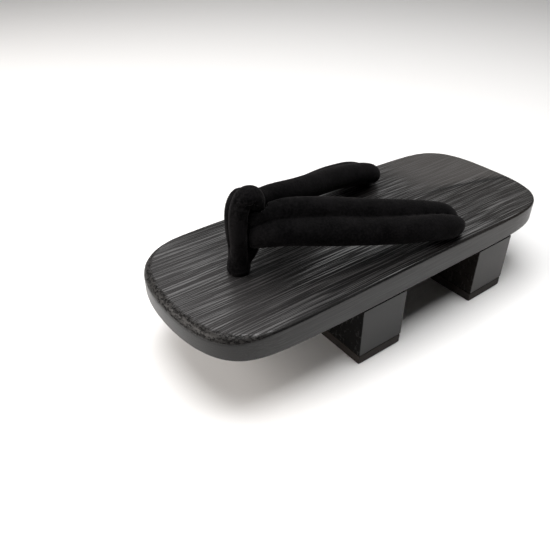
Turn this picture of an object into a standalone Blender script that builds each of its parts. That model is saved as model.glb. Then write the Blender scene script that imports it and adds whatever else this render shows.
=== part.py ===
"""Geta sandal: a wooden board on two teeth, held to the foot by a padded thong strap.

Metres, +Z up and +Y towards the toe. The origin is on the floor under the middle of the board, which is alike
on both sides of its length, so the sandal fits either foot.
"""
import math

import bmesh
import bpy
from mathutils import Vector

# Clearance between pieces that touch
GAP = 0.0003

# Board
BOARD_LENGTH = 0.250
BOARD_WIDTH = 0.100
BOARD_THICKNESS = 0.0152
WIDEST_BACK = 0.0097       # the widest place lies this far behind the middle of the length
TOE_BOW = 2.1              # outline powers: the lower, the rounder the end is across
TOE_SQUARENESS = 12.0      # the higher, the straighter the sides run before they turn
HEEL_BOW = 2.9
HEEL_SQUARENESS = 8.8
HEEL_DROP = 0.0014         # the top falls this much towards the heel
DROP_LENGTH = 0.105        # over this length, from the middle back
TOE_SPRING = 0.0020        # the underside rises this much towards the toe
HEEL_SPRING = 0.0012
TOE_ROUND = 0.0050         # worn round edge at the toe
TOE_ROUND_FROM = 0.090     # the edge grows rounder from here ahead of the middle,
TOE_ROUND_FULL = 0.120     # and is at its roundest from here
SIDE_ROUND = 0.0016
UNDER_ROUND = 0.0010
OUTLINE_POINTS = 26        # in each quarter of the outline
FINE_POINTS = 1200         # tried along a quarter, to pick those from
FLAT_STRIPS = 24           # across the top and the underside, each at its own height
ROUND_STEPS = 4
HOLE_POINTS = 20

# Teeth and treads
FRONT_TOOTH_BACK = 0.0068  # rear face of the front tooth, ahead of the middle
FRONT_TOOTH_DEPTH = 0.0320
REAR_TOOTH_BACK = -0.0848
REAR_TOOTH_DEPTH = 0.0310
TOOTH_HEIGHT = 0.0308
TOOTH_INSET = 0.0001
TOOTH_ROUND = 0.0006
TOOTH_SIDE_POINTS = 5      # the tooth's ends follow the board's outline
TREAD_THICKNESS = 0.0058
TREAD_INSET = 0.0002
TREAD_ROUND = 0.0008

# Heights that follow
UNDERSIDE = TREAD_THICKNESS + GAP + TOOTH_HEIGHT + GAP
TOP = UNDERSIDE + BOARD_THICKNESS

# Strap: two padded rolls side by side
STRAP_HOLE_SIDE = 0.0380   # rear holes, from the middle line
STRAP_HOLE_BACK = 0.0415   # rear holes, behind the middle
STRAP_POINT_AHEAD = 0.0760 # middle of the strap at the point of the V
STRAP_RISE = 0.0256        # middle of the strap at the point, above the board
STRAP_SLIP = 0.0018        # the left arm lies this much ahead at its rear end, and the right arm as much behind
ROLL_RADIUS = 0.0071
ROLL_SPACING = 0.83        # of the roll's radius, from the strap's middle to each roll's
CORD_RADIUS = 0.0038
CORD_POINTS = 16
ROLL_POINTS = 13
STEPS_A_ROW = 4

# Toe loop
LOOP_HOLE_AHEAD = 0.0810
LOOP_ROLL_RADIUS = 0.0042
LOOP_TOP = 0.0429          # middle of the loop at its highest, above the board
LOOP_BACK = 0.0100         # how far the loop reaches back from its front leg
POST_RADIUS = 0.0046       # the gathered legs, where they enter the board
LOOP_ROLL_POINTS = 9

# Ties under the board
TIE_RADIUS = 0.0026
TIE_POINTS = 12
TIE_REACH = 0.0025         # into the holes
KNOT_RADIUS = 0.0068
KNOT_HEIGHT = 0.0088
KNOT_SEGMENTS = 20
KNOT_RINGS = 12
TAIL_LENGTH = 0.0130
TAIL_SKEW = 0.0040         # the knot's tails point this much ahead and behind
TAIL_DROP = 0.0010
TIE_BEND = 0.0042          # the cord turns from the hole to the underside over this length

# One arm of the strap, from the point of the V to the rear hole. side, ahead and rise are shares of the distances
# from hole to middle line, hole to point and board to point. tilt is how far the strap leans up from lying flat,
# in degrees. girth and flatness are shares of the roll's radius, along and across the strap's width. uneven is
# how much the lower roll gains and the upper loses, and skew how far the section leans along the arm, with the
# inner roll the longer.
STRAP_ROWS = (
    dict(side=0.000, ahead=1.000, rise=1.00, tilt=90, girth=0.84, flatness=0.46, uneven=0.00, skew=0.00),
    dict(side=0.125, ahead=0.992, rise=1.03, tilt=86, girth=0.84, flatness=0.58, uneven=0.08, skew=0.00),
    dict(side=0.210, ahead=0.958, rise=1.09, tilt=78, girth=0.83, flatness=0.80, uneven=0.16, skew=0.00),
    dict(side=0.254, ahead=0.912, rise=1.10, tilt=69, girth=0.87, flatness=0.96, uneven=0.14, skew=0.00),
    dict(side=0.310, ahead=0.830, rise=1.05, tilt=56, girth=0.95, flatness=1.00, uneven=0.06, skew=0.00),
    dict(side=0.451, ahead=0.660, rise=0.88, tilt=44, girth=1.02, flatness=1.00, uneven=0.05, skew=0.00),
    dict(side=0.637, ahead=0.484, rise=0.71, tilt=34, girth=1.02, flatness=1.00, uneven=0.02, skew=0.00),
    dict(side=0.806, ahead=0.305, rise=0.55, tilt=26, girth=1.03, flatness=1.00, uneven=0.02, skew=0.00),
    dict(side=0.908, ahead=0.144, rise=0.39, tilt=20, girth=1.01, flatness=1.00, uneven=0.03, skew=0.05),
    dict(side=0.955, ahead=0.065, rise=0.28, tilt=17, girth=0.99, flatness=1.00, uneven=0.03, skew=0.12),
    dict(side=0.985, ahead=0.018, rise=0.19, tilt=14, girth=0.90, flatness=1.00, uneven=0.03, skew=0.18),
    dict(side=1.000, ahead=-0.012, rise=0.10, tilt=12, girth=0.68, flatness=1.00, uneven=0.00, skew=0.20),
    dict(side=1.006, ahead=-0.026, rise=0.03, tilt=12, girth=0.38, flatness=1.00, uneven=0.00, skew=0.20),
    dict(side=1.008, ahead=-0.031, rise=0.00, tilt=12, girth=0.14, flatness=1.00, uneven=0.00, skew=0.20),
)

# Toe loop from the post, up in front of the V, over it and down behind. ahead is a share of LOOP_BACK from the
# hole, rise a share of LOOP_TOP above the board. spacing and girth are shares of the roll's radius, and uneven is
# how much of it the outer roll gains and the other loses.
LOOP_ROWS = (
    dict(ahead=0.02, rise=0.12, spacing=0.40, girth=0.88, uneven=0.00),
    dict(ahead=0.04, rise=0.32, spacing=0.55, girth=0.94, uneven=0.06),
    dict(ahead=0.10, rise=0.55, spacing=0.74, girth=1.00, uneven=0.09),
    dict(ahead=0.08, rise=0.77, spacing=0.84, girth=1.03, uneven=0.12),
    dict(ahead=-0.10, rise=0.92, spacing=0.86, girth=1.04, uneven=0.18),
    dict(ahead=-0.44, rise=0.99, spacing=0.86, girth=1.04, uneven=0.24),
    dict(ahead=-0.80, rise=0.94, spacing=0.82, girth=1.00, uneven=0.20),
    dict(ahead=-1.02, rise=0.79, spacing=0.68, girth=0.90, uneven=0.10),
    dict(ahead=-1.10, rise=0.58, spacing=0.50, girth=0.80, uneven=0.00),
    dict(ahead=-1.03, rise=0.37, spacing=0.40, girth=0.74, uneven=0.00),
    dict(ahead=-0.72, rise=0.23, spacing=0.35, girth=0.72, uneven=0.00),
    dict(ahead=-0.28, rise=0.15, spacing=0.35, girth=0.72, uneven=0.00),
)

# Post: radius as a share of POST_RADIUS, rise as a share of LOOP_TOP above the board
POST_ROWS = (
    dict(rise=0.020, radius=1.00),
    dict(rise=0.045, radius=1.14),
    dict(rise=0.105, radius=1.20),
    dict(rise=0.165, radius=1.12),
    dict(rise=0.225, radius=0.98),
    dict(rise=0.285, radius=0.70),
)


def clear_scene():
    """Removes whatever the scene starts with."""
    for thing in list(bpy.data.objects):
        bpy.data.objects.remove(thing, do_unlink=True)


def collection(name):
    """Makes a collection in the scene."""
    made = bpy.data.collections.new(name)
    bpy.context.scene.collection.children.link(made)
    return made


def material(name, colour, roughness):
    """Makes a plain Principled material."""
    made = bpy.data.materials.new(name)
    made.use_nodes = True
    shader = made.node_tree.nodes["Principled BSDF"]
    shader.inputs["Base Color"].default_value = (*colour, 1.0)
    shader.inputs["Roughness"].default_value = roughness
    shader.inputs["Metallic"].default_value = 0.0
    return made


def object_from(bm, name, home, finish=None, smooth_angle=None):
    """Turns a bmesh into a named object with outward faces."""
    bmesh.ops.recalc_face_normals(bm, faces=bm.faces)
    mesh = bpy.data.meshes.new(name)
    bm.to_mesh(mesh)
    bm.free()
    if finish:
        mesh.materials.append(finish)
    if smooth_angle is not None:
        mesh.shade_smooth()
        mesh.set_sharp_from_angle(angle=math.radians(smooth_angle))
    made = bpy.data.objects.new(name, mesh)
    home.objects.link(made)
    return made


def as_cutter(thing):
    """Hides an object that only shapes another."""
    thing.hide_render = True
    thing.display_type = "WIRE"
    return thing


def boolean(thing, operation, other):
    """Adds a Boolean modifier."""
    step = thing.modifiers.new(operation.title(), "BOOLEAN")
    step.operation = operation
    step.solver = "EXACT"
    step.object = other


def weld(thing):
    """Merges the slivers that cutting and joining leave."""
    step = thing.modifiers.new("Slivers", "WELD")
    step.merge_threshold = 0.00005


def bevel(thing, width):
    """Adds a small rounding to an object's hard edges."""
    step = thing.modifiers.new("Rounding", "BEVEL")
    step.width = width
    step.segments = 2
    step.limit_method = "ANGLE"
    step.angle_limit = math.radians(40)


def ease(share):
    """Goes smoothly from 0 to 1."""
    share = min(max(share, 0.0), 1.0)
    return share * share * (3 - 2 * share)


def half_width(y):
    """Half the board's width at a place along its length."""
    ahead = y + WIDEST_BACK
    if ahead > 0:
        reach, bow, squareness = BOARD_LENGTH / 2 + WIDEST_BACK, TOE_BOW, TOE_SQUARENESS
    else:
        reach, bow, squareness = BOARD_LENGTH / 2 - WIDEST_BACK, HEEL_BOW, HEEL_SQUARENESS
    left = max(0.0, 1.0 - abs(ahead / reach) ** squareness)
    return BOARD_WIDTH / 2 * left ** (1.0 / bow)


def quarter(reach, bow, squareness):
    """Points on a quarter of the outline, closer together where it turns, from the side to the end."""
    fine = []
    for step in range(FINE_POINTS + 1):
        turn = math.pi / 2 * (step / FINE_POINTS) ** 3
        across = BOARD_WIDTH / 2 * math.cos(turn) ** (2 / bow)
        along = reach * math.sin(turn) ** (2 / squareness)
        fine.append(Vector((max(across, 0.0), along)))
    travelled = [0.0]
    for before, here, after in zip(fine, fine[1:], fine[2:] + fine[-1:]):
        bend = (here - before).angle(after - here, 0.0)
        travelled.append(travelled[-1] + (here - before).length / BOARD_LENGTH + bend)
    picked = []
    index = 0
    for count in range(OUTLINE_POINTS + 1):
        wanted = travelled[-1] * count / OUTLINE_POINTS
        while index < len(fine) - 1 and travelled[index] < wanted:
            index += 1
        picked.append(fine[index])
    return picked


def outline():
    """The board's outline, once round, with the outward direction at each point."""
    toe = quarter(BOARD_LENGTH / 2 + WIDEST_BACK, TOE_BOW, TOE_SQUARENESS)
    heel = quarter(BOARD_LENGTH / 2 - WIDEST_BACK, HEEL_BOW, HEEL_SQUARENESS)
    right = [Vector((p.x, -p.y - WIDEST_BACK)) for p in reversed(heel)]
    right += [Vector((p.x, p.y - WIDEST_BACK)) for p in toe[1:]]
    left = [Vector((-p.x, p.y)) for p in reversed(right[1:-1])]
    points = right + left
    outward = []
    for before, after in zip(points[-1:] + points[:-1], points[1:] + points[:1]):
        run = after - before
        outward.append(Vector((run.y, -run.x)).normalized())
    return points, outward


def top_at(y):
    """Height of the board's top, which falls a little towards the heel."""
    return TOP - HEEL_DROP * ease(-y / DROP_LENGTH)


def underside_at(y):
    """Height of the board's underside, flat over the teeth and rising beyond them."""
    front = FRONT_TOOTH_BACK + FRONT_TOOTH_DEPTH
    toe = TOE_SPRING * ease((y - front) / (BOARD_LENGTH / 2 - front))
    heel = HEEL_SPRING * ease((REAR_TOOTH_BACK - y) / (BOARD_LENGTH / 2 + REAR_TOOTH_BACK))
    return UNDERSIDE + toe + heel


def edge_round(y):
    """Radius of the board's upper edge, large at the toe and small along the sides."""
    share = (y - TOE_ROUND_FROM) / (TOE_ROUND_FULL - TOE_ROUND_FROM)
    return SIDE_ROUND + (TOE_ROUND - SIDE_ROUND) * ease(share)


def build_board(home, cutters, finish):
    """Foot board: rings of the outline, bowed in height, with three holes for the strap."""
    points, outward = outline()
    bm = bmesh.new()
    quarter_turn = [math.pi / 2 * step / ROUND_STEPS for step in range(ROUND_STEPS + 1)]
    rings = [(False, 1 - math.sin(turn), 1 - math.cos(turn)) for turn in quarter_turn]
    rings += [(True, 1 - math.cos(turn), 1 - math.sin(turn)) for turn in quarter_turn]
    loops = []
    for upper, inward, away in rings:
        loop = []
        for point, out in zip(points, outward):
            size = edge_round(point.y) if upper else UNDER_ROUND
            place = point - out * size * inward
            height = top_at(place.y) - size * away if upper else underside_at(place.y) + size * away
            loop.append(bm.verts.new((place.x, place.y, height)))
        loops.append(loop)
    for low, high in zip(loops, loops[1:]):
        for index in range(len(low)):
            following = (index + 1) % len(low)
            bm.faces.new((low[index], low[following], high[following], high[index]))
    bm.faces.new(reversed(loops[0]))
    bm.faces.new(loops[-1])
    bow_flats(bm)
    board = object_from(bm, "board", home, finish, 35)
    holes = (
        (0.0, LOOP_HOLE_AHEAD, POST_RADIUS + GAP),
        (-STRAP_HOLE_SIDE, -STRAP_HOLE_BACK, CORD_RADIUS + GAP),
        (STRAP_HOLE_SIDE, -STRAP_HOLE_BACK, CORD_RADIUS + GAP),
    )
    for number, (x, y, radius) in enumerate(holes):
        rows = ((0.0, radius), (TOP * 2, radius))
        drill = turned(f"strap_hole_{number}", cutters, rows, (x, y), None, HOLE_POINTS)
        boolean(board, "DIFFERENCE", as_cutter(drill))


def bow_flats(bm):
    """Cuts the board's two flats across, so that each strip takes its own height."""
    for step in range(1, FLAT_STRIPS):
        y = BOARD_LENGTH * (step / FLAT_STRIPS - 0.5)
        flats = [face for face in bm.faces if abs(face.normal.z) > 0.95 or len(face.verts) > 4]
        geometry = flats + list({edge for face in flats for edge in face.edges})
        geometry += list({vert for face in flats for vert in face.verts})
        bmesh.ops.bisect_plane(bm, geom=geometry, plane_co=(0, y, 0), plane_no=(0, 1, 0), dist=1e-6)
    bm.normal_update()


def plate(name, home, points, low, high, finish):
    """Flat outline made thick, from one height to another."""
    curve = bpy.data.curves.new(name, "CURVE")
    curve.dimensions = "2D"
    curve.fill_mode = "BOTH"
    curve.extrude = (high - low) / 2
    line = curve.splines.new("POLY")
    line.points.add(len(points) - 1)
    for slot, (x, y) in zip(line.points, points):
        slot.co = (x, y, 0.0, 1.0)
    line.use_cyclic_u = True
    flat = bpy.data.objects.new(name, curve)
    home.objects.link(flat)
    bpy.context.view_layer.update()
    evaluated = flat.evaluated_get(bpy.context.evaluated_depsgraph_get())
    bm = bmesh.new()
    bm.from_mesh(bpy.data.meshes.new_from_object(evaluated))
    bpy.data.objects.remove(flat, do_unlink=True)
    bmesh.ops.remove_doubles(bm, verts=bm.verts, dist=0.00005)
    bmesh.ops.dissolve_limit(bm, angle_limit=math.radians(0.5), verts=bm.verts, edges=bm.edges)
    bmesh.ops.translate(bm, verts=bm.verts, vec=(0, 0, (low + high) / 2))
    return object_from(bm, name, home, finish, 35)


def across_board(back, depth, inset):
    """Outline of a piece that spans the board between two places along it."""
    right = []
    for step in range(TOOTH_SIDE_POINTS):
        share = step / (TOOTH_SIDE_POINTS - 1)
        y = back + depth * share
        right.append((half_width(y) - inset, y + inset * (1 - 2 * share)))
    return right + [(-x, y) for x, y in reversed(right)]


def build_tooth(name, home, back, depth, wood, rubber):
    """Tooth under the board, as wide as the board is there, with a tread under it."""
    tooth = plate(f"{name}_tooth", home, across_board(back, depth, TOOTH_INSET),
                  TREAD_THICKNESS + GAP, UNDERSIDE - GAP, wood)
    bevel(tooth, TOOTH_ROUND)
    tread = plate(f"{name}_tread", home, across_board(back, depth, TREAD_INSET), 0.0, TREAD_THICKNESS, rubber)
    bevel(tread, TREAD_ROUND)


def smooth_rows(rows, steps):
    """Reads rows between their given places along a smooth curve, as many steps for each."""
    padded = [rows[0]] + list(rows) + [rows[-1]]
    made = []
    for p0, p1, p2, p3 in zip(padded, padded[1:], padded[2:], padded[3:]):
        for step in range(steps):
            t = step / steps
            made.append({
                key: 0.5 * (2 * p1[key] + (p2[key] - p0[key]) * t
                            + (2 * p0[key] - 5 * p1[key] + 4 * p2[key] - p3[key]) * t ** 2
                            + (3 * p1[key] - p0[key] - 3 * p2[key] + p3[key]) * t ** 3)
                for key in rows[0]
            })
    made.append(dict(rows[-1]))
    return made


def two_rolls(first, second, spacing, flatness, points, grow=0.0):
    """Section of two rolls side by side: pairs of places across the width and the thickness.

    Both rolls lie on one line, so the larger stands higher. spacing is the distance between their middles as a
    share of their radii together, and grow is added to both radii.
    """
    mean = (first + second) / 2
    middles = (Vector((spacing * mean, first - mean)), Vector((-spacing * mean, second - mean)))
    radii = (first + grow, second + grow)
    section = []
    for here, there in ((0, 1), (1, 0)):
        apart = middles[here] - middles[there]
        facing = math.atan2(apart.y, apart.x)
        meeting = (apart.length ** 2 + radii[here] ** 2 - radii[there] ** 2) / (2 * apart.length * radii[here])
        last = math.pi - math.acos(min(meeting, 1.0))
        for step in range(points - 1):
            turn = facing + last * (2 * step / (points - 1) - 1)
            place = middles[here] + Vector((math.cos(turn), math.sin(turn))) * radii[here]
            section.append((place.x, place.y * flatness))
    return section


def loft(name, home, sections, finish):
    """Skins a row of sections, each a list of points, and closes the ends."""
    bm = bmesh.new()
    loops = [[bm.verts.new(point) for point in section] for section in sections]
    for here, there in zip(loops, loops[1:]):
        for index in range(len(here)):
            following = (index + 1) % len(here)
            bm.faces.new((here[index], here[following], there[following], there[index]))
    bm.faces.new(loops[-1])
    bm.faces.new(reversed(loops[0]))
    return object_from(bm, name, home, finish, 50)


def strap_sections():
    """Sections of the whole strap, from the right rear hole round the point of the V to the left one."""
    right = [dict(row, skew=-row["skew"]) for row in reversed(STRAP_ROWS)]
    left = [dict(row, side=-row["side"]) for row in STRAP_ROWS[1:]]
    rows = smooth_rows(right + left, STEPS_A_ROW)
    reach = STRAP_POINT_AHEAD + STRAP_HOLE_BACK
    middles = [Vector((row["side"] * STRAP_HOLE_SIDE,
                       row["ahead"] * reach - STRAP_HOLE_BACK - row["side"] * STRAP_SLIP,
                       TOP + row["rise"] * STRAP_RISE)) for row in rows]
    sections = []
    for index, (row, middle) in enumerate(zip(rows, middles)):
        along = (middles[min(index + 1, len(middles) - 1)] - middles[max(index - 1, 0)]).normalized()
        inward = Vector((-along.y, along.x, 0)).normalized()
        tilt = math.radians(row["tilt"])
        width = inward * math.cos(tilt) + Vector((0, 0, 1)) * math.sin(tilt)
        width = (width - along * width.dot(along)).normalized()
        thick = along.cross(width)
        radius = ROLL_RADIUS * row["girth"]
        less, more = radius * (1 - row["uneven"]), radius * (1 + row["uneven"])
        places = two_rolls(less, more, ROLL_SPACING, row["flatness"], ROLL_POINTS)
        sections.append([middle + (width + along * row["skew"]) * a + thick * b for a, b in places])
    return sections


def loop_sections(grow):
    """Sections of the toe loop, grown by a clearance."""
    rows = smooth_rows(LOOP_ROWS, STEPS_A_ROW)
    middles = [Vector((0, LOOP_HOLE_AHEAD + row["ahead"] * LOOP_BACK, TOP + row["rise"] * LOOP_TOP)) for row in rows]
    sections = []
    for index, (row, middle) in enumerate(zip(rows, middles)):
        along = (middles[min(index + 1, len(middles) - 1)] - middles[max(index - 1, 0)]).normalized()
        width = Vector((1, 0, 0))
        thick = along.cross(width)
        radius = LOOP_ROLL_RADIUS * row["girth"]
        less, more = radius * (1 - row["uneven"]), radius * (1 + row["uneven"])
        places = two_rolls(less, more, row["spacing"], 1.0, LOOP_ROLL_POINTS, grow)
        sections.append([middle + width * a + thick * b for a, b in places])
    return sections


def turned(name, home, rows, centre, finish, points):
    """Solid of round sections above one another, round a centre: rows of a height and a radius."""
    sections = []
    for height, radius in rows:
        turns = [2 * math.pi * step / points for step in range(points)]
        sections.append([Vector((centre[0] + radius * math.cos(turn), centre[1] + radius * math.sin(turn), height))
                         for turn in turns])
    return loft(name, home, sections, finish)


def build_strap(home, cutters, finish):
    """Thong strap: both arms in one piece, flat where they rest, with a cord down each rear hole."""
    strap = loft("thong_strap", home, strap_sections(), finish)
    floor = BOARD_LENGTH * 2
    bpy.ops.mesh.primitive_cube_add(size=floor, location=(0, 0, TOP + GAP - floor / 2))
    rest = bpy.context.object
    rest.name = "strap_rest"
    for owner in rest.users_collection:
        owner.objects.unlink(rest)
    cutters.objects.link(as_cutter(rest))
    boolean(strap, "DIFFERENCE", rest)
    cord_end = UNDERSIDE + TIE_REACH + GAP
    for side in (-1, 1):
        rows = [(cord_end, CORD_RADIUS * 0.9), (cord_end + 0.0006, CORD_RADIUS), (TOP + GAP * 4, CORD_RADIUS),
                (TOP + 0.003, CORD_RADIUS * 0.8)]
        cord = turned(f"strap_cord_{side}", cutters, rows, (side * STRAP_HOLE_SIDE, -STRAP_HOLE_BACK), None, CORD_POINTS)
        boolean(strap, "UNION", as_cutter(cord))
    boolean(strap, "DIFFERENCE", as_cutter(loft("loop_groove", cutters, loop_sections(GAP), None)))
    weld(strap)


def build_loop(home, cutters, finish):
    """Toe loop: two rolls over the point of the V, gathered into a post that goes down the front hole."""
    loop = loft("toe_loop", home, loop_sections(0.0), finish)
    rows = [(UNDERSIDE + GAP, POST_RADIUS * 0.9), (UNDERSIDE + 0.001, POST_RADIUS)]
    rows += [(TOP + row["rise"] * LOOP_TOP, POST_RADIUS * row["radius"]) for row in POST_ROWS]
    post = turned("loop_post", cutters, rows, (0.0, LOOP_HOLE_AHEAD), None, HOLE_POINTS)
    boolean(loop, "UNION", as_cutter(post))
    weld(loop)


def tube(name, home, points, radius, finish):
    """Cord through a list of points, with closed ends."""
    sections = []
    for index, middle in enumerate(points):
        before = points[max(index - 1, 0)]
        after = points[min(index + 1, len(points) - 1)]
        along = (after - before).normalized()
        side = along.cross(Vector((0, 1, 0)) if abs(along.y) < 0.9 else Vector((0, 0, 1))).normalized()
        other = along.cross(side)
        turns = [2 * math.pi * step / TIE_POINTS for step in range(TIE_POINTS)]
        sections.append([middle + (side * math.cos(turn) + other * math.sin(turn)) * radius for turn in turns])
    return loft(name, home, sections, finish)


def lump(name, home, centre, radii):
    """Rounded lump of a knot."""
    bm = bmesh.new()
    bmesh.ops.create_uvsphere(bm, u_segments=KNOT_SEGMENTS, v_segments=KNOT_RINGS, radius=1.0)
    bmesh.ops.scale(bm, verts=bm.verts, vec=radii)
    bmesh.ops.translate(bm, verts=bm.verts, vec=centre)
    return as_cutter(object_from(bm, name, home))


def build_front_knot(home, cutters, finish):
    """Knot of the toe loop, close under the front hole."""
    middle = Vector((0.0, LOOP_HOLE_AHEAD, UNDERSIDE - GAP - KNOT_HEIGHT / 2))
    tail = Vector((TAIL_LENGTH, TAIL_SKEW, 0.0))
    drop = Vector((0.0, 0.0, TAIL_DROP))
    points = [middle - tail - drop, middle - tail * 0.5, middle + tail * 0.5, middle + tail - drop]
    knot = tube("front_knot", home, points, TIE_RADIUS, finish)
    radii = (KNOT_RADIUS, KNOT_RADIUS * 0.86, KNOT_HEIGHT / 2)
    boolean(knot, "UNION", lump("front_knot_lump", cutters, middle, radii))


def build_rear_tie(home, cutters, finish):
    """Cords of the two rear holes, tied together across the underside."""
    low = UNDERSIDE - GAP - TIE_RADIUS
    bend = 0.3 * TIE_BEND
    shape = ((0.0, UNDERSIDE + TIE_REACH), (0.0, UNDERSIDE - GAP), (bend, low + bend), (TIE_BEND, low),
             (STRAP_HOLE_SIDE * 0.6, low))
    half = [Vector((STRAP_HOLE_SIDE - inward, -STRAP_HOLE_BACK, height)) for inward, height in shape]
    points = half + [Vector((-point.x, point.y, point.z)) for point in reversed(half)]
    tie = tube("rear_tie", home, points, TIE_RADIUS, finish)
    middle = (0.0, -STRAP_HOLE_BACK, UNDERSIDE - GAP - KNOT_HEIGHT * 0.4)
    radii = (KNOT_RADIUS * 1.1, KNOT_RADIUS * 0.7, KNOT_HEIGHT * 0.4)
    boolean(tie, "UNION", lump("rear_tie_lump", cutters, middle, radii))


def main():
    """Builds the sandal."""
    clear_scene()
    home = collection("geta_sandal")
    cutters = collection("cutters")
    wood = material("black_wood", (0.020, 0.020, 0.021), 0.5)
    rubber = material("tread_rubber", (0.035, 0.030, 0.026), 0.85)
    velvet = material("black_velvet", (0.008, 0.008, 0.009), 0.95)
    cord = material("tie_cord", (0.016, 0.016, 0.017), 0.9)
    build_board(home, cutters, wood)
    build_tooth("front", home, FRONT_TOOTH_BACK, FRONT_TOOTH_DEPTH, wood, rubber)
    build_tooth("rear", home, REAR_TOOTH_BACK, REAR_TOOTH_DEPTH, wood, rubber)
    build_strap(home, cutters, velvet)
    build_loop(home, cutters, velvet)
    build_front_knot(home, cutters, cord)
    build_rear_tie(home, cutters, cord)


main()
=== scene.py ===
"""Looks of one black two-toothed geta: brushed and stained wood, rubber treads and a padded velvet strap."""

import logging
import math
from dataclasses import dataclass, field
from enum import Enum

import bmesh
import bpy
import numpy as np
from mathutils import Matrix, Vector, kdtree


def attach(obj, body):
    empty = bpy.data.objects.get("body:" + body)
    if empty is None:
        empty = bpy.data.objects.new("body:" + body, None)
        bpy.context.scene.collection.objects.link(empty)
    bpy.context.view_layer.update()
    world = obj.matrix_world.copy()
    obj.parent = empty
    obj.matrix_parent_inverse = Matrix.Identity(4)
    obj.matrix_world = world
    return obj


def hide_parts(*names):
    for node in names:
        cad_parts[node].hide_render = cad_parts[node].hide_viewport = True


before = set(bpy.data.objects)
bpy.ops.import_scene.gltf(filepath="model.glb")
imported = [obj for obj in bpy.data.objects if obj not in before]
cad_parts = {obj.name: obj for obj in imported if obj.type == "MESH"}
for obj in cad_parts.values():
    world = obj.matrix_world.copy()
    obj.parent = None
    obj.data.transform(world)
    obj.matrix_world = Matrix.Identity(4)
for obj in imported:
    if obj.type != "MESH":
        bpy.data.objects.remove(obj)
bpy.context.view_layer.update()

log = logging.getLogger("geta")

MM = 0.001
BODY = "root"
BOARD_TOP = 0.0524
SAME_CORNER = 0.000005  # corners of a CAD mesh nearer than this are one, in metres
SEAM_STEP = 0.3  # millimetres between the points that mark a seam
NEAR_BLACK = (0.0010, 0.0009, 0.0009, 1.0)


# ---------------------------------------------------------------------------------------------------------------------
# Shader maths


@dataclass(frozen=True)
class Wire:
    """One output socket of a node that takes part in Python expressions.

    Args:
        nodes: the node tree that new Math nodes go into.
        out: the socket that carries the value.
    """

    nodes: "Nodes"
    out: bpy.types.NodeSocket

    def maths(self, operation: str, *values: "Wire | float") -> "Wire":
        """Adds one Math node.

        Args:
            operation: Blender's name of the operation.
            values: its operands in order, wires or numbers.

        Returns:
            The wire of its result.
        """
        return self.nodes.add("ShaderNodeMath", {"operation": operation}, dict(enumerate(values)))

    def __add__(self, other: "Wire | float") -> "Wire":
        """This wire plus another value."""
        return self.maths("ADD", self, other)

    __radd__ = __add__

    def __sub__(self, other: "Wire | float") -> "Wire":
        """This wire less another value."""
        return self.maths("SUBTRACT", self, other)

    def __rsub__(self, other: float) -> "Wire":
        """A number less this wire."""
        return self.maths("SUBTRACT", other, self)

    def __mul__(self, other: "Wire | float") -> "Wire":
        """This wire times another value."""
        return self.maths("MULTIPLY", self, other)

    __rmul__ = __mul__

    def __abs__(self) -> "Wire":
        """This wire without its sign."""
        return self.maths("ABSOLUTE", self)

    def sine(self) -> "Wire":
        """The sine of this wire."""
        return self.maths("SINE", self)

    def rise(self, low: float, high: float) -> "Wire":
        """A soft step.

        Args:
            low: where the step is still 0.
            high: where it has reached 1; below low, the step falls instead.

        Returns:
            The wire of the step, from 0 to 1.
        """
        ends = (low, high, 0.0, 1.0) if low < high else (high, low, 1.0, 0.0)
        settings = {"interpolation_type": "SMOOTHSTEP"}
        return self.nodes.add("ShaderNodeMapRange", settings, {0: self, **dict(enumerate(ends, 1))})


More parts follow.
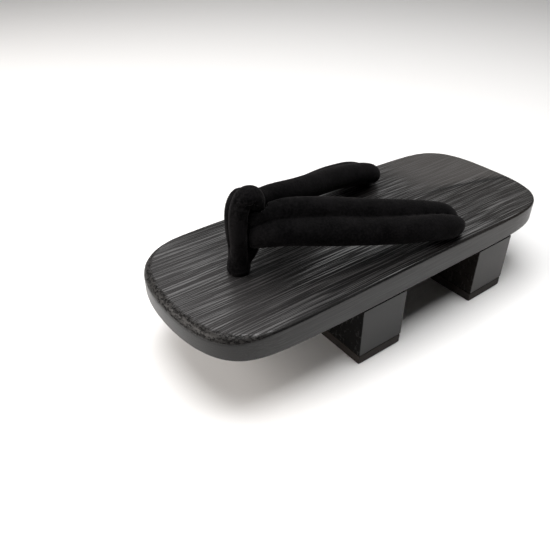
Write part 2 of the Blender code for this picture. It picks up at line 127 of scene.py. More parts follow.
class Nodes:
    """The node tree of one material or world, and the one way in which nodes join it."""

    def __init__(self, tree: bpy.types.NodeTree) -> None:
        """Takes a tree and empties it."""
        self.tree = tree
        tree.nodes.clear()

    @staticmethod
    def socket(sockets: bpy.types.bpy_prop_collection, key: "int | str") -> bpy.types.NodeSocket:
        """Finds a socket.

        Args:
            sockets: a node's inputs or outputs.
            key: its number, its identifier or its name.

        Returns:
            The socket.
        """
        if isinstance(key, int):
            return sockets[key]
        return next((s for s in sockets if s.identifier == key), None) or sockets[key]

    def add(
        self,
        kind: str,
        settings: "dict | None" = None,
        sockets: "dict | None" = None,
        out: "int | str" = 0,
    ) -> Wire:
        """Adds one node.

        Args:
            kind: Blender's name of the node type.
            settings: its properties, which are set first.
            sockets: the value or wire of each input, by number, identifier or name.
            out: the output that the result carries.

        Returns:
            The wire of that output.
        """
        node = self.tree.nodes.new(kind)
        for name, value in (settings or {}).items():
            setattr(node, name, value)
        for key, value in (sockets or {}).items():
            target = self.socket(node.inputs, key)
            if isinstance(value, Wire):
                self.tree.links.new(value.out, target)
            else:
                target.default_value = value
        return Wire(self, self.socket(node.outputs, out))

    def place(self, turn: float = 0.0) -> Wire:
        """The place on the object, in metres.

        Args:
            turn: how far the pattern is turned about the upright axis, in radians.

        Returns:
            The wire of the place.
        """
        spot = self.add("ShaderNodeTexCoord", out="Object")
        return spot if turn == 0.0 else self.turned(spot, turn)

    def facing(self, turn: float = 0.0) -> Wire:
        """The way that the surface faces on the object, turned as its pattern is."""
        way = self.add("ShaderNodeTexCoord", out="Normal")
        return way if turn == 0.0 else self.turned(way, turn)

    def turned(self, vector: Wire, turn: float) -> Wire:
        """A vector turned about the upright axis."""
        return self.add("ShaderNodeMapping", {"vector_type": "POINT"}, {0: vector, 2: (0.0, 0.0, turn)})

    def split(self, vector: Wire) -> tuple[Wire, Wire, Wire]:
        """The three parts of a vector."""
        parts = self.add("ShaderNodeSeparateXYZ", None, {0: vector})
        return tuple(Wire(self, s) for s in parts.out.node.outputs)

    def joined(self, x: "Wire | float", y: "Wire | float", z: "Wire | float") -> Wire:
        """One vector from three parts."""
        return self.add("ShaderNodeCombineXYZ", None, {0: x, 1: y, 2: z})

    def noise(self, vector: Wire, scale: float, detail: float = 2.0, rough: float = 0.55) -> Wire:
        """Soft noise.

        Args:
            vector: where it is read.
            scale: how many of its grains stand on one unit of that vector.
            detail: how many finer layers it has.
            rough: how strong the finer layers are.

        Returns:
            The wire of the noise, about 0.5 on average.
        """
        sockets = {"Vector": vector, "Scale": scale, "Detail": detail, "Roughness": rough}
        return self.add("ShaderNodeTexNoise", None, sockets)

    def blend(self, share: "Wire | float", first: "Wire | tuple", second: "Wire | tuple") -> Wire:
        """A colour between two.

        Args:
            share: 0 for the first and 1 for the second.
            first: a colour or its wire.
            second: a colour or its wire.

        Returns:
            The wire of the colour.
        """
        sockets = {"Factor_Float": share, "A_Color": first, "B_Color": second}
        return self.add("ShaderNodeMix", {"data_type": "RGBA"}, sockets, "Result_Color")

    def bump(self, height: Wire, depth: float, strength: float = 1.0, under: "Wire | None" = None) -> Wire:
        """A relief for a shader's normal.

        Args:
            height: the relief's height, from 0 to 1.
            depth: how deep 1 is, in metres.
            strength: how much of it counts.
            under: the normal that it lies on.

        Returns:
            The wire of the normal.
        """
        sockets = {"Height": height, "Distance": depth, "Strength": strength}
        if under is not None:
            sockets["Normal"] = under
        return self.add("ShaderNodeBump", None, sockets)


def new_material(name: str) -> tuple[bpy.types.Material, Nodes]:
    """An empty material and its nodes."""
    material = bpy.data.materials.new(name)
    material.use_nodes = True
    return material, Nodes(material.node_tree)


def finish_surface(nodes: Nodes, sockets: dict) -> None:
    """Ends a material in one Principled shader.

    Args:
        nodes: the material's nodes.
        sockets: the value or wire of each of the shader's inputs.
    """
    end_in(nodes, "ShaderNodeOutputMaterial", nodes.add("ShaderNodeBsdfPrincipled", None, sockets))


def end_in(nodes: Nodes, kind: str, shader: Wire) -> None:
    """Links a shader to the tree's output node."""
    node = nodes.tree.nodes.new(kind)
    nodes.tree.links.new(shader.out, node.inputs["Surface"])


# ---------------------------------------------------------------------------------------------------------------------
# Finishes


class Fibres(Enum):
    """Which way a wooden piece's fibres run, as the turn that brings them onto the pattern's length."""

    LENGTHWISE = 0.0
    CROSSWISE = math.pi / 2


@dataclass(frozen=True)
class Streaks:
    """One layer of the grain.

    Args:
        fine: how many of its grains stand on one metre across the fibres.
        length: how fast it changes along the fibres, as a share of that.
        depth: how fast it changes through the wood's height, as a share of that.
        detail: how many finer layers it has.
        rough: how strong the finer layers are.
    """

    fine: float
    length: float
    depth: float
    detail: float
    rough: float

    def read(self, n: Nodes, across: Wire, along: Wire, height: Wire) -> Wire:
        """The wire of the layer at a place on the wood."""
        place = n.joined(across, along * self.length, height * self.depth)
        return n.noise(place, self.fine, self.detail, self.rough)


LINES = Streaks(2000.0, 0.013, 0.7, 0.5, 0.35)
FIBRE_GROUPS = Streaks(780.0, 0.020, 0.7, 2.0, 0.60)
BANDS = Streaks(240.0, 0.030, 0.6, 2.0, 0.55)
PATCHES = Streaks(42.0, 0.30, 1.0, 1.5, 0.5)
PITS = Streaks(560.0, 1.0, 2.2, 3.0, 0.7)
PORES = Streaks(2600.0, 1.0, 1.0, 1.0, 0.5)


@dataclass(frozen=True)
class Stained:
    """What one wooden surface is made of at a place. All are wires from 0 to 1, as shares of the surface.

    Args:
        on_top: the level faces.
        sawn: all other faces.
        rim: the round-over between them.
        plain: the smooth zone at the heel.
        group: thick bundles of fibres; not used.
        relief: the brushed grain's height.
        even: that height, calmed where little brushing shows.
        crest: the tops of the hard grain.
        patch: large soft patches.
        pits: the pitted end grain.
        pores: the finest grain.
        split: the clean cuts between the pits of the rim.
        heelward: how far towards the heel.
        toe_sheen: where a paler grey is painted as sheen, towards the toe.
        torn_face: faces that the saw left torn.
        speck: the specks on them.
    """

    on_top: Wire
    sawn: Wire
    rim: Wire
    plain: "Wire | float"
    group: Wire
    relief: Wire
    even: Wire
    crest: Wire
    patch: Wire
    pits: Wire
    pores: Wire
    split: Wire
    heelward: Wire
    toe_sheen: Wire
    torn_face: Wire
    speck: Wire


@dataclass(frozen=True)
class StainedWood:
    """Black-stained softwood, brushed so that its hard grain stands up, and waxed.

    Args:
        name: the material's name.
        fibres: which way the fibres run.
        dark: colour of the soft grain.
        light: colour of the raised hard grain, paler as worn stain and as painted glint.
        brushed: how deep the brushing is, in metres.
        gloss: roughness of the raised grain.
        figured: whether the heel shows its smooth zone and the dark line in it.
        coarse: how rough the faces across the fibres' breadth were left by the saw.
        toe_sheen_grey: colour of the painted sheen at the toe and on the crests near it.
        warm: colour of the stain towards the heel.
        round_over_tone: colour of the round-over, paler than the stain.
        torn_depth: how deep the pits and specks are, in metres.
        sanded_depth: how deep the marks of sanding are, in metres.
    """

    name: str
    fibres: Fibres
    dark: tuple = (0.0012, 0.0011, 0.0011, 1.0)
    light: tuple = (0.0340, 0.0320, 0.0315, 1.0)
    brushed: float = 0.00080
    gloss: float = 0.26
    figured: bool = False
    coarse: float = 0.0
    toe_sheen_grey: tuple = (0.0420, 0.0400, 0.0402, 1.0)
    warm: tuple = (0.0210, 0.0160, 0.0128, 1.0)
    round_over_tone: tuple = (0.0300, 0.0280, 0.0270, 1.0)
    torn_depth: float = 0.00060
    sanded_depth: float = 0.00007

    def make(self) -> bpy.types.Material:
        """Builds the material."""
        material, n = new_material(self.name)
        across, along, height = n.split(n.place(self.fibres.value))
        wood = self.stain(n, across, along, height)
        ring = self.heel_line(across, along) * wood.on_top if self.figured else 0.0
        finish_surface(
            n,
            {
                "Base Color": self.colour(n, wood, ring),
                "Roughness": self.roughness(wood),
                "Normal": self.surface(n, wood, n.joined(across * 0.12, along * 0.12, height)),
                "Coat Weight": self.wax(wood, ring),
                "Coat Roughness": 0.28,
                "Specular IOR Level": 0.07,
            },
        )
        return material

    def stain(self, n: Nodes, across: Wire, along: Wire, height: Wire) -> Stained:
        """Works out what the surface is made of.

        Args:
            n: the material's nodes.
            across: the place across the fibres, in metres.
            along: the place along them.
            height: the place above the floor.

        Returns:
            The shares of the surface.
        """
        way_across, way_along, way_up = n.split(n.facing(self.fibres.value))
        wander = n.noise(n.joined(across * 3.0, along, height * 3.0), 14.0, 1.0) * 0.0030
        bent = across + wander
        line = LINES.read(n, bent, along, height)
        on_top = way_up.rise(0.80, 0.97)
        sawn = 1.0 - on_top
        end_grain = abs(way_along).rise(0.35, 0.75)
        plain = self.heel_zone(across, along) * on_top if self.figured else 0.0
        group = FIBRE_GROUPS.read(n, bent, along, height).rise(0.36, 0.60)
        crest = line.rise(0.51, 0.62) * (0.25 + 0.75 * group)
        furrow = line.rise(0.46, 0.35) * (1.0 - 0.5 * group)
        band = BANDS.read(n, bent, along, height).rise(0.35, 0.65)
        relief = 0.36 + crest * 0.56 - furrow * 0.34 + band * 0.06
        faint = 1.0 - (1.0 - 0.80 * sawn) * (1.0 - 0.80 * plain) * (1.0 - 0.85 * end_grain)
        even = relief * (1.0 - faint) + 0.45 * faint
        toward_toe = n.split(n.place())[1]
        # Painted sheen: a paler grey on the crests towards the toe, and then over the toe's top, standing in for its
        # grey reflection.
        toe_crest_sheen = toward_toe.rise(0.005, 0.070) * even.rise(0.30, 0.85) * 0.5
        speck = n.noise(n.joined(across * 0.5, along * 0.5, height * 0.30), 900.0, 2.0, 0.6)
        return Stained(
            on_top=on_top,
            sawn=sawn,
            rim=way_up.rise(0.22, 0.42) * way_up.rise(0.995, 0.94) * (0.35 + 0.65 * abs(way_along).rise(0.05, 0.25)),
            plain=plain,
            group=group,
            relief=relief,
            even=even,
            crest=crest,
            patch=PATCHES.read(n, across, along, height),
            pits=PITS.read(n, across, along, height).rise(0.54, 0.40),
            pores=PORES.read(n, across, along, height),
            split=way_up.rise(0.20, 0.45) * way_up.rise(0.97, 0.80) * abs(way_along).rise(0.50, 0.10) * group,
            heelward=toward_toe.rise(0.010, -0.115),
            toe_sheen=(toe_crest_sheen + toward_toe.rise(0.050, 0.112) * 0.60) * on_top,
            torn_face=abs(way_across).rise(0.60, 0.90) * self.coarse,
            speck=speck.rise(0.56, 0.66),
        )

    def colour(self, n: Nodes, wood: Stained, ring: "Wire | float") -> Wire:
        """The stain: paler on the crests as worn stain and as painted glint, painted paler grey at the toe as sheen,
        paler on the round-over and brown at the heel.

        Args:
            n: the material's nodes.
            wood: what the surface is made of.
            ring: the dark line at the heel.

        Returns:
            The wire of the colour.
        """
        # Painted glint and wear: the crests of the top are painted paler, standing in for their glints as well as for
        # worn stain.
        crest_glint_and_wear = wood.crest * wood.crest * wood.on_top * (1.0 - 0.8 * wood.plain)
        pale = wood.even * 0.12 + wood.patch * 0.06 + 0.02 * wood.pores + crest_glint_and_wear * 0.9
        colour = n.blend(pale, self.dark, self.light)
        # Painted sheen: the toe's top is painted paler grey.
        colour = n.blend(wood.toe_sheen, colour, self.toe_sheen_grey)
        colour = n.blend(wood.heelward * (0.25 + 0.45 * wood.sawn + 0.40 * wood.plain), colour, self.warm)
        colour = n.blend(wood.rim * 0.8 * (1.0 - wood.split), colour, self.round_over_tone)
        colour = n.blend(wood.pits * wood.rim * 0.9, colour, NEAR_BLACK)
        return n.blend(ring * 0.85, colour, NEAR_BLACK) if self.figured else colour

    def roughness(self, wood: Stained) -> Wire:
        """The stain's roughness, without its wax."""
        return self.gloss + 0.16 * (1.0 - wood.even) + 0.06 * wood.patch + 0.20 * wood.rim + 0.12 * wood.sawn

    def wax(self, wood: Stained, ring: "Wire | float") -> Wire:
        """How much wax lies on the wood: most on the crests, and little in pits, splits and torn faces.

        Args:
            wood: what the surface is made of.
            ring: the dark line at the heel.

        Returns:
            The wire of the wax's weight.
        """
        brushed_heel = wood.heelward * wood.on_top * (1.0 - wood.plain)
        top_wax = wood.even.rise(0.33, 0.85) * (1.0 - 0.55 * brushed_heel) * (1.0 - 0.35 * wood.toe_sheen)
        if self.figured:
            top_wax = (top_wax + 0.20 * wood.plain) * (1.0 - 0.85 * ring)
        waxed = top_wax * wood.on_top + (0.25 + 0.70 * wood.even) * wood.sawn
        waxed = waxed * (1.0 - 0.5 * wood.rim) * (1.0 - 0.7 * wood.pits * wood.rim) * (1.0 - 0.9 * wood.split)
        return waxed * (1.0 - wood.torn_face) + 0.55 * wood.speck * wood.torn_face

    def surface(self, n: Nodes, wood: Stained, sanding: Wire) -> Wire:
        """The relief: brushed grain on top, pits at the rim and sanding marks on the sawn faces.

        Args:
            n: the material's nodes.
            wood: what the surface is made of.
            sanding: the place, drawn out along the way of the sanding.

        Returns:
            The wire of the normal.
        """
        depth = (0.12 + 0.88 * wood.on_top) * (0.55 + 0.7 * wood.patch) * (1.0 - 0.75 * wood.plain)
        scuffs = n.noise(sanding, 1100.0, 2.0, 0.6)
        grain = n.bump(wood.relief * depth, self.brushed)
        holes = (1.0 - wood.pits) * wood.rim + wood.speck * wood.torn_face * 0.6
        torn = n.bump(holes, self.torn_depth, 1.0, grain)
        return n.bump((wood.pores * 0.35 + scuffs * 0.65) * wood.sawn, self.sanded_depth, 0.7, torn)

    @staticmethod
    def off_ring(across: Wire, along: Wire) -> Wire:
        """How far a place lies from the growth ring that curves across the heel, in metres."""
        back = along + 0.055
        return across - (0.0010 + back * 0.052 - back * back * 2.75)

    def heel_zone(self, across: Wire, along: Wire) -> Wire:
        """The smooth zone at the heel: a tongue of plain grain on the far side of the ring."""
        edge = self.off_ring(across, along)
        return edge.rise(-0.0005, 0.0080) * along.rise(-0.042, -0.080)

    def heel_line(self, across: Wire, along: Wire) -> Wire:
        """The dark line of that ring itself."""
        near = (abs(self.off_ring(across, along)) * 430.0).rise(1.0, 0.1)
        return near * along.rise(-0.051, -0.067)


@dataclass(frozen=True)
class TreadRubber:
    """Matte brown-black rubber of the pads under the teeth.

    Args:
        name: the material's name.
        dark: colour of the clean rubber.
        light: colour where it is dusty.
    """

    name: str = "tread_rubber"
    dark: tuple = (0.0075, 0.0054, 0.0043, 1.0)
    light: tuple = (0.0240, 0.0170, 0.0130, 1.0)

    def make(self) -> bpy.types.Material:
        """Builds the material."""
        material, n = new_material(self.name)
        place = n.place()
        crumb = n.noise(place, 1700.0, 2.0, 0.6)
        cloud = n.noise(place, 110.0, 2.0, 0.5)
        finish_surface(
            n,
            {
                "Base Color": n.blend(cloud * 0.7 + crumb * 0.3, self.dark, self.light),
                "Roughness": 0.62 + 0.25 * cloud,
                "Normal": n.bump(crumb, 0.00018, 0.8),
                "Specular IOR Level": 0.35,
            },
        )
        return material


@dataclass(frozen=True)
class Velveteen:
    """Deep black short-pile velvet.

    Args:
        name: the material's name.
        deep: colour where the pile stands up.
        brushed: colour where the pile lies over, also painted on the front of the sandal as light.
        sheen: how much light the pile's tips catch.
        tint: the colour of that light.
    """

    name: str = "black_velvet"
    deep: tuple = (0.0011, 0.0011, 0.0012, 1.0)
    brushed: tuple = (0.0066, 0.0061, 0.0065, 1.0)
    sheen: float = 0.036
    tint: tuple = (1.0, 0.95, 0.97, 1.0)

    def make(self) -> bpy.types.Material:
        """Builds the material."""
        material, n = new_material(self.name)
        place = n.place()
        pile = n.noise(place, 2600.0, 2.0, 0.6)
        tuft = n.noise(place, 900.0, 2.0, 0.6)
        nap = n.noise(place, 95.0, 3.0, 0.6)
        # Painted light: from about 70 mm forward the velvet takes more of the paler colour, standing in for the light
        # on its front.
        painted_front_light = n.split(place)[1].rise(0.070, 0.083)
        share = nap.rise(0.35, 0.75) * (0.5 + 0.5 * painted_front_light) + tuft.rise(0.36, 0.66) * (0.45 + 0.5 * painted_front_light)
        colour = n.blend(share, self.deep, self.brushed)
        soft = n.bump(nap, 0.00030, 0.35)
        finish_surface(
            n,
            {
                "Base Color": colour,
                "Roughness": 0.82 + 0.15 * tuft,
                "Normal": n.bump(pile * 0.45 + tuft * 0.55, 0.00040, 0.9, soft),
                "Specular IOR Level": 0.02,
                "Sheen Weight": self.sheen,
                "Sheen Roughness": 0.38,
                "Sheen Tint": self.tint,
            },
        )
        return material


@dataclass(frozen=True)
class TieCord:
    """Black twisted cord, its strands slanting across it.

    Args:
        name: the material's name.
        dark: colour between the strands, a painted shade.
        light: colour on top of them, a painted highlight.
    """

    name: str = "tie_cord"
    dark: tuple = (0.0030, 0.0028, 0.0028, 1.0)
    light: tuple = (0.020, 0.019, 0.018, 1.0)

    def make(self) -> bpy.types.Material:
        """Builds the material."""
        material, n = new_material(self.name)
        place = n.place()
        x, y, z = n.split(place)
        # Painted shade and highlight: darker between the strands and paler on their tops.
        strand = (z * 3400.0 + abs(x) * 1500.0 + y * 2100.0).sine() * 0.5 + 0.5
        hair = n.noise(place, 3000.0, 2.0, 0.6)
        finish_surface(
            n,
            {
                "Base Color": n.blend(strand * 0.6 + hair * 0.4, self.dark, self.light),
                "Roughness": 0.70 + 0.2 * hair,
                "Normal": n.bump(strand * 0.8 + hair * 0.2, 0.00035, 0.8),
                "Sheen Weight": 0.15,
                "Sheen Roughness": 0.5,
                "Specular IOR Level": 0.25,
            },
        )
        return material


@dataclass(frozen=True)
class PaleFloor:
    """Plain matte white surface that the sandal stands on.

    Args:
        name: the material's name.
        tone: its colour.
        cloudy: its colour in the faint clouds.
    """

    name: str = "pale_floor"
    tone: tuple = (0.86, 0.855, 0.85, 1.0)
    cloudy: tuple = (0.8471, 0.842175, 0.83725, 1.0)

    def make(self) -> bpy.types.Material:
        """Builds the material."""
        material, n = new_material(self.name)
        cloud = n.noise(n.place(), 1.5, 1.0)
        tone = n.blend(cloud * 0.3, self.tone, self.cloudy)
        finish_surface(n, {"Base Color": tone, "Roughness": 0.9, "Specular IOR Level": 0.1})
        return material


# ---------------------------------------------------------------------------------------------------------------------
# Wooden base


@dataclass
class WoodenBase:
    """The board, its two teeth and their treads: CAD nodes that keep their shape and get their finish here.

    Args:
        crisp: edges that turn by more than this stay crisp, in radians.
    """

    crisp: float = math.radians(34.0)

    def dress(self) -> None:
        """Gives each node its material and a smooth shading with flat faces left flat."""
        board = StainedWood("black_wood_board", Fibres.LENGTHWISE, figured=True).make()
        tooth = StainedWood("black_wood_teeth", Fibres.CROSSWISE, brushed=0.00010, gloss=0.34, coarse=1.0).make()
        rubber = TreadRubber().make()
        for name, material in (
            ("board", board),
            ("front_tooth", tooth),
            ("rear_tooth", tooth),
            ("front_tread", rubber),
            ("rear_tread", rubber),
        ):
            self.dress_node(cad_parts[name], material)
            log.info("dressed %s in %s", name, material.name)

    def dress_node(self, node: bpy.types.Object, material: bpy.types.Material) -> None:
        """Puts a material on a node and shades it.

        Args:
            node: the CAD node, whose mesh stays as it is.
            material: its finish.
        """
        if not node.material_slots:
            node.data.materials.append(material)
        for holder in node.material_slots:
            holder.material = material
        for polygon in node.data.polygons:
            polygon.use_smooth = True
        weld = node.modifiers.new("one_skin", "WELD")
        weld.merge_threshold = SAME_CORNER
        crisp = node.modifiers.new("crisp_edges", "EDGE_SPLIT")
        crisp.split_angle = self.crisp
        crisp.use_edge_sharp = False
        even = node.modifiers.new("flat_faces", "WEIGHTED_NORMAL")
        even.mode = "FACE_AREA"


# ---------------------------------------------------------------------------------------------------------------------
# Padded pieces


class Fold(Enum):
    """Whether a crease goes in or stands out."""

    TROUGH = -1.0
    RIDGE = 1.0


@dataclass(frozen=True)
class Crease:
    """One soft trough or ridge in the cloth, placed as listed.

    Args:
        start: where it starts, in millimetres from the sandal's middle on the floor.
        end: where it ends.
        width: how far it spreads to each side, in millimetres.
        depth: how deep or high it is, in millimetres.
        fold: trough or ridge.
    """

    start: tuple
    end: tuple
    width: float
    depth: float
    fold: Fold = Fold.TROUGH

    def shift(self, points: np.ndarray) -> np.ndarray:
        """How far each point moves out along its normal.

        Args:
            points: the places, one a row, in metres.

        Returns:
            The distances, in metres.
        """
        start = np.array(self.start) * MM
        run = np.array(self.end) * MM - start
        share = np.clip((points - start) @ run / max(run @ run, 1e-12), 0.0, 1.0)
        gap = np.linalg.norm(points - (start + share[:, None] * run), axis=1)
        soft = np.exp(-((gap / (self.width * MM)) ** 2))
        ends = 0.35 + 0.65 * np.sin(np.pi * np.clip(share, 0.04, 0.96)) ** 0.5
        return self.fold.value * self.depth * MM * soft * ends


def merged_shell(node: str) -> bmesh.types.BMesh:
    """A CAD node's own mesh with its corners merged."""
    shell = bmesh.new()
    shell.from_mesh(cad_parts[node].data)
    bmesh.ops.remove_doubles(shell, verts=shell.verts, dist=SAME_CORNER)
    bmesh.ops.recalc_face_normals(shell, faces=shell.faces)
    return shell


def settle(piece: bpy.types.Object) -> None:
    """Applies every modifier of a piece to its mesh."""
    seen = piece.evaluated_get(bpy.context.evaluated_depsgraph_get())
    mesh = bpy.data.meshes.new_from_object(seen)
    piece.modifiers.clear()
    old, piece.data = piece.data, mesh
    name = old.name
    bpy.data.meshes.remove(old)
    mesh.name = name


def even_skin(node: str, name: str, voxel: float, calm: int) -> bpy.types.Object:
    """A copy of a CAD node's mesh, remeshed into even small faces.

    Args:
        node: the CAD node's name.
        name: the copy's name.
        voxel: how fine it is, in metres.
        calm: how many times it is smoothed.

    Returns:
        The copy, in the scene.
    """
    mesh = bpy.data.meshes.new(name)
    shell = merged_shell(node)
    shell.to_mesh(mesh)
    shell.free()
    piece = bpy.data.objects.new(name, mesh)
    bpy.context.scene.collection.objects.link(piece)
    remesh = piece.modifiers.new("even_skin", "REMESH")
    remesh.mode = "VOXEL"
    remesh.voxel_size = voxel
    settle(piece)
    skin = bmesh.new()
    skin.from_mesh(piece.data)
    for _ in range(calm):
        bmesh.ops.smooth_vert(skin, verts=skin.verts, factor=0.5, use_axis_x=True, use_axis_y=True, use_axis_z=True)
    bmesh.ops.recalc_face_normals(skin, faces=skin.faces)
    skin.to_mesh(piece.data)
    skin.free()
    return piece


def smooth_shaded(piece: bpy.types.Object, *finishes: bpy.types.Material) -> None:
    """Shades a piece smoothly and gives it its finishes in place of any others."""
    piece.data.materials.clear()
    for finish in finishes:
        piece.data.materials.append(finish)
    for polygon in piece.data.polygons:
        polygon.use_smooth = True


@dataclass(frozen=True)
class Stuffing:
    """How the air pressure that stands for the stuffing works on the cloth.

    Args:
        quality: steps of the cloth solver a frame.
        mass: weight of each point of the cloth.
        stretch: how stiff the cloth is along its threads.
        shear: how stiff it is across them.
        bend: how stiff it is when bent.
        pressure: the pressure inside.
        frames: how many frames it works.
        hold: how far a seam holds the cloth, in voxels.
        rest: how far above the board's top the cloth is held, in metres.
    """

    quality: int = 5
    mass: float = 0.15
    stretch: float = 25.0
    shear: float = 10.0
    bend: float = 1.0
    pressure: float = 4.0
    frames: int = 20
    hold: float = 1.6
    rest: float = 0.0025


@dataclass
class PaddedPiece:
    """A stuffed velvet piece that takes the place of one CAD node.

    Args:
        node: the CAD node's name.
        velvet: the finish of its padding.
        cord: the finish of what lies under the board's top.
        voxel: how fine its cloth is remeshed, in metres.
        cap: how far the stuffing may push the cloth, in metres.
        calm: how many times the fresh cloth is smoothed.
        fill: how tightly it is stuffed; not used.
        creases: its troughs and ridges.
        slot: the record's material slot; not used.
        valley: two faces that close in by more than this make a seam, in radians.
        seam_depth: how deep the seam is drawn in, in metres.
        seam_width: how far that spreads to each side, in metres.
        seam_from: how far above the board's top the seams start, in metres.
        seam_fade: over which height above the board's top they deepen, in metres.
        cord_below: how far below the board's top the cord starts, in metres.
        stuffing: how it is stuffed.
    """

    node: str
    velvet: bpy.types.Material
    cord: bpy.types.Material
    voxel: float
    cap: float
    calm: int
    fill: float
    creases: tuple = ()
    slot: str = "black_velvet"
    valley: float = math.radians(28.0)
    seam_depth: float = 0.0015
    seam_width: float = 0.0008
    seam_from: float = 0.0015
    seam_fade: float = 0.002
    cord_below: float = 0.004
    stuffing: Stuffing = Stuffing()

    def build(self) -> bpy.types.Object:
        """Makes the cloth, stuffs and creases it, and puts it in the node's place."""
        piece = even_skin(self.node, f"{self.node}_cloth", self.voxel, self.calm)
        seams = self.valleys()
        self.stuff(piece, seams)
        rounder = piece.modifiers.new("rounder", "SUBSURF")
        rounder.levels = 1
        rounder.render_levels = 1
        settle(piece)
        self.crease(piece, seams)
        self.dress(piece)
        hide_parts(self.node)
        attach(piece, BODY)
        return piece

    def valleys(self) -> kdtree.KDTree:
        """Points along the lines where two rolls of the node meet, for finding how far a place is from a seam."""
        shell = merged_shell(self.node)
        spots = []
        for edge in shell.edges:
            first, second = (vert.co for vert in edge.verts)
            raised = min(first.z, second.z) > BOARD_TOP + self.seam_from
            if raised and len(edge.link_faces) == 2 and edge.calc_face_angle_signed(0.0) < -self.valley:
                steps = max(1, int((second - first).length / (SEAM_STEP * MM)))
                spots.extend(first.lerp(second, step / steps) for step in range(steps + 1))
        shell.free()
        tree = kdtree.KDTree(len(spots))
        for index, spot in enumerate(spots):
            tree.insert(spot, index)
        tree.balance()
        return tree

    def stuff(self, piece: bpy.types.Object, seams: kdtree.KDTree) -> None:
        """Lets air pressure round the cloth, while its seams and what lies under the board's top stay in place.

        Args:
            piece: the remeshed cloth.
            seams: the lines where its rolls meet.
        """
        way = self.stuffing
        before = self.points(piece)
        held = np.maximum(self.near(before, seams, way.hold * self.voxel), before[:, 2] < BOARD_TOP + way.rest)
        group = piece.vertex_groups.new(name="held")
        for index, weight in enumerate(held):
            if weight > 0.0:
                group.add([index], float(weight), "REPLACE")
        cloth = piece.modifiers.new("stuffing", "CLOTH")
        physics = cloth.settings
        physics.quality = way.quality
        physics.mass = way.mass
        physics.tension_stiffness = way.stretch
        physics.compression_stiffness = way.stretch
        physics.shear_stiffness = way.shear
        physics.bending_stiffness = way.bend
        physics.use_pressure = True
        physics.uniform_pressure_force = way.pressure
        physics.vertex_group_mass = group.name
        physics.effector_weights.gravity = 0.0
        cloth.collision_settings.use_collision = False
        cloth.point_cache.frame_start = 1
        cloth.point_cache.frame_end = way.frames
        scene = bpy.context.scene
        for step in range(1, way.frames + 1):
            scene.frame_set(step)
        settle(piece)
        scene.frame_set(1)
        moved = self.points(piece) - before
        far = np.linalg.norm(moved, axis=1)
        share = np.minimum(1.0, self.cap / np.maximum(far, 1e-9))
        self.place(piece, before + moved * share[:, None])
        log.info("%s: stuffing moved the cloth %.2f mm at most before its cap", piece.name, far.max() / MM)

    def near(self, points: np.ndarray, seams: kdtree.KDTree, width: float) -> np.ndarray:
        """How near each point is to a seam.

        Args:
            points: the places, one a row, in metres.
            seams: the lines where the rolls meet.
            width: how far the nearness spreads, in metres.

        Returns:
            One share a point, 1 on a seam and falling softly to 0.
        """
        gaps = np.array([seams.find(point)[2] for point in points])
        return np.exp(-((gaps / width) ** 2))

    def crease(self, piece: bpy.types.Object, seams: kdtree.KDTree) -> None:
        """Draws the seams in and presses the table's creases into the cloth.

        Args:
            piece: the stuffed cloth.
            seams: the lines where its rolls meet.
        """
        places = self.points(piece)
        normals = np.zeros(len(places) * 3, np.float32)
        piece.data.vertex_normals.foreach_get("vector", normals)
        above = np.clip((places[:, 2] - BOARD_TOP) / self.seam_fade, 0.0, 1.0)
        shift = -self.seam_depth * self.near(places, seams, self.seam_width) * above
        for crease in self.creases:
            shift += crease.shift(places)
        self.place(piece, places + normals.reshape(-1, 3) * shift[:, None])

    def dress(self, piece: bpy.types.Object) -> None:
        """Puts velvet on the padding and cord on what lies under the board's top."""
        smooth_shaded(piece, self.velvet, self.cord)
        for polygon in piece.data.polygons:
            polygon.material_index = 1 if polygon.center.z < BOARD_TOP - self.cord_below else 0

    @staticmethod
    def points(piece: bpy.types.Object) -> np.ndarray:
        """The places of a piece's points, one a row."""
        flat = np.zeros(len(piece.data.vertices) * 3, np.float32)
        piece.data.vertices.foreach_get("co", flat)
        return flat.reshape(-1, 3).astype(float)

    @staticmethod
    def place(piece: bpy.types.Object, points: np.ndarray) -> None:
        """Moves a piece's points to new places."""
        piece.data.vertices.foreach_set("co", points.astype(np.float32).ravel())
        piece.data.update()


STRAP_CREASES = (
    Crease((-7.0, 60.5, 91.0), (-11.8, 65.0, 86.5), 1.1, 0.90),
    Crease((-9.5, 58.0, 90.5), (-13.0, 62.0, 85.5), 1.0, 0.65),
    Crease((-8.4, 67.0, 90.3), (-10.9, 70.0, 86.0), 1.1, 0.75),
    Crease((-10.5, 53.5, 89.5), (-14.2, 57.5, 84.9), 1.2, 0.70),
    Crease((-11.5, 47.0, 88.8), (-15.8, 52.0, 83.4), 1.4, 0.55),
    Crease((-9.8, 71.5, 82.0), (-12.8, 74.5, 77.0), 1.8, 0.40),
    Crease((-16.0, 58.5, 82.0), (-20.0, 62.0, 74.0), 2.0, 0.35),
    Crease((-20.5, 49.0, 80.0), (-24.2, 52.0, 74.0), 1.8, 0.30),
    Crease((-25.5, 33.0, 76.8), (-29.7, 36.0, 69.6), 2.2, 0.30),
    Crease((-31.0, -20.0, 71.5), (-29.0, -32.0, 69.0), 3.0, 0.40),
    Crease((8.0, 50.0, 88.0), (3.0, 56.0, 84.0), 2.0, 0.35),
    Crease((12.0, 30.0, 84.0), (8.0, 34.0, 80.0), 2.5, 0.30),
)

